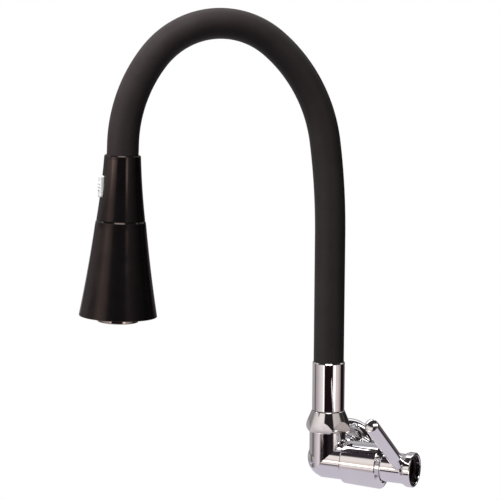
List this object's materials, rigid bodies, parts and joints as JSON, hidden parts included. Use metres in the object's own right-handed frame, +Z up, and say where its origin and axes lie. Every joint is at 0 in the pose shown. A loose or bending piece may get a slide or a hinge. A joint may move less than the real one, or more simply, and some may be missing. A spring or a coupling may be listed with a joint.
{
  "type": "pre rinse faucet",
  "caption": "Wall-mounted single-lever kitchen faucet with a flexible gooseneck spout on a swivel base and a cone-shaped two-jet spray head.",
  "frame": {"origin": "centre of the inlet on the wall plane: the back face of the wall flange", "axes": "+Z up, +Y into the wall, -Y towards the user, +X along the valve branch from the riser to the handle"},
  "size_m": [0.2312, 0.2211, 0.3889],
  "materials": {
    "valve_body": "polished chrome plate",
    "wall_flange": "polished chrome plate",
    "inlet_washer": "black rubber",
    "bonnet_nut": "polished chrome plate",
    "cartridge_seal": "black rubber",
    "ceramic_disc_fixed": "lapped ceramic",
    "cartridge_housing": "white engineering plastic",
    "swivel_nut": "polished chrome plate",
    "slip_ring": "white engineering plastic",
    "ceramic_disc_turning": "lapped ceramic",
    "cartridge_stem": "plain machined brass",
    "stem_oring": "black rubber",
    "handle_hub": "polished chrome plate",
    "hub_screw": "plain steel",
    "lever_pin": "polished chrome plate",
    "spout_spigot": "plain machined brass",
    "spigot_oring_lower": "black rubber",
    "spigot_oring_upper": "black rubber",
    "ferrule": "polished chrome plate",
    "gooseneck_sleeve_low": "matte black silicone",
    "gooseneck_core_low": "plain steel",
    "water_tube_low": "white engineering plastic",
    "gooseneck_sleeve_rise": "matte black silicone",
    "gooseneck_core_rise": "plain steel",
    "water_tube_rise": "white engineering plastic",
    "gooseneck_sleeve_crown": "matte black silicone",
    "gooseneck_core_crown": "plain steel",
    "water_tube_crown": "white engineering plastic",
    "gooseneck_sleeve_drop": "matte black silicone",
    "gooseneck_core_drop": "plain steel",
    "water_tube_drop": "white engineering plastic",
    "grip_shell": "glossy black",
    "cone_shell": "glossy black",
    "head_fitting": "plain machined brass",
    "fitting_washer": "black rubber",
    "head_waterway": "white engineering plastic",
    "spray_plate": "glossy black",
    "plate_seal": "black rubber",
    "nozzle_ring": "polished chrome plate",
    "aerator_housing": "white engineering plastic",
    "aerator_screen": "plain steel",
    "button_spring": "plain steel",
    "diverter_button": "satin metallic grey",
    "diverter_spool": "plain machined brass"
  },
  "bodies": {
    "valve": {"valve_body": "valve_body", "wall_flange": "wall_flange", "inlet_washer": "inlet_washer", "bonnet_nut": "bonnet_nut", "cartridge_seal": "cartridge_seal", "ceramic_disc_fixed": "ceramic_disc_fixed", "cartridge_housing": "cartridge_housing", "swivel_nut": "swivel_nut", "slip_ring": "slip_ring"},
    "lever": {"ceramic_disc_turning": "ceramic_disc_turning", "cartridge_stem": "cartridge_stem", "stem_oring": "stem_oring", "handle_hub": "handle_hub", "hub_screw": "hub_screw", "lever_pin": "lever_pin"},
    "spout": {"spout_spigot": "spout_spigot", "spigot_oring_lower": "spigot_oring_lower", "spigot_oring_upper": "spigot_oring_upper", "ferrule": "ferrule", "gooseneck_sleeve_low": "gooseneck_sleeve_low", "gooseneck_core_low": "gooseneck_core_low", "water_tube_low": "water_tube_low"},
    "rise": {"gooseneck_sleeve_rise": "gooseneck_sleeve_rise", "gooseneck_core_rise": "gooseneck_core_rise", "water_tube_rise": "water_tube_rise"},
    "crown": {"gooseneck_sleeve_crown": "gooseneck_sleeve_crown", "gooseneck_core_crown": "gooseneck_core_crown", "water_tube_crown": "water_tube_crown"},
    "head": {"gooseneck_sleeve_drop": "gooseneck_sleeve_drop", "gooseneck_core_drop": "gooseneck_core_drop", "water_tube_drop": "water_tube_drop", "grip_shell": "grip_shell", "cone_shell": "cone_shell", "head_fitting": "head_fitting", "fitting_washer": "fitting_washer", "head_waterway": "head_waterway", "spray_plate": "spray_plate", "plate_seal": "plate_seal", "nozzle_ring": "nozzle_ring", "aerator_housing": "aerator_housing", "aerator_screen": "aerator_screen", "button_spring": "button_spring"},
    "button": {"diverter_button": "diverter_button", "diverter_spool": "diverter_spool"}
  },
  "joints": [
    {"name": "lever_turn", "type": "hinge", "parent": "valve", "child": "lever", "pos_m": [0.0655, -0.05, 0], "axis": [1, 0, 0], "range_deg": [-53.5, 36.5]},
    {"name": "spout_swivel", "type": "hinge", "parent": "valve", "child": "spout", "pos_m": [0, -0.05, 0.03], "axis": [0, 0, 1], "range_deg": [-50, 140]},
    {"name": "flex_low", "type": "hinge", "parent": "spout", "child": "rise", "pos_m": [0, -0.05, 0.12], "axis": [-0.7071, 0.7071, 0], "range_deg": [-8, 12]},
    {"name": "flex_crown", "type": "hinge", "parent": "rise", "child": "crown", "pos_m": [-0.0091, -0.0591, 0.28868], "axis": [-0.7071, 0.7071, 0], "range_deg": [-8, 24]},
    {"name": "flex_drop", "type": "hinge", "parent": "crown", "child": "head", "pos_m": [-0.10464, -0.15464, 0.3257], "axis": [-0.7071, 0.7071, 0], "range_deg": [-8, 24]},
    {"name": "button_press", "type": "slide", "parent": "head", "child": "button", "axis": [0.7067, 0.7067, -0.0349], "range_m": [0, 0.0016], "stiffness_N_per_m": 300, "springref_m": -0.003, "deforming": ["button_spring"]}
  ]
}
